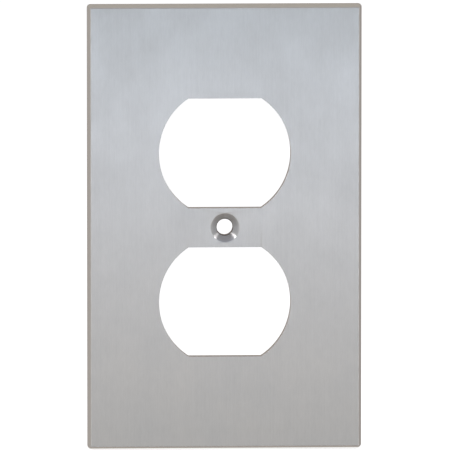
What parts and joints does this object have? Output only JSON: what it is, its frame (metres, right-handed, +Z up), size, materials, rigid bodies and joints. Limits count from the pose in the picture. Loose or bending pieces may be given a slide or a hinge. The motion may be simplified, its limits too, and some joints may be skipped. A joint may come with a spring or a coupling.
{
  "type": "duplex receptacle wall plate",
  "caption": "Flat brushed metal wall plate with steep sides, flat-sided round openings for a duplex receptacle, a countersunk hole between them, and its loose mounting screw.",
  "frame": {"origin": "on the axis of the screw hole, in the plane of the plate's back", "axes": "+X to the right as the plate is seen on the wall, +Z up the wall, -Y out of the face towards the room"},
  "size_m": [0.0716, 0.02, 0.1164],
  "materials": {
    "plate_metal": "satin, brushed up and down the face",
    "screw_metal": "satin turned head, rolled thread"
  },
  "bodies": {
    "plate": {"faceplate": "plate_metal"},
    "screw": {"mounting_screw": "screw_metal"}
  },
  "joints": [
    {"name": "screw_lift", "type": "slide", "parent": "plate", "child": "screw", "axis": [0, 0, 1], "range_m": [0, 0.04]}
  ]
}
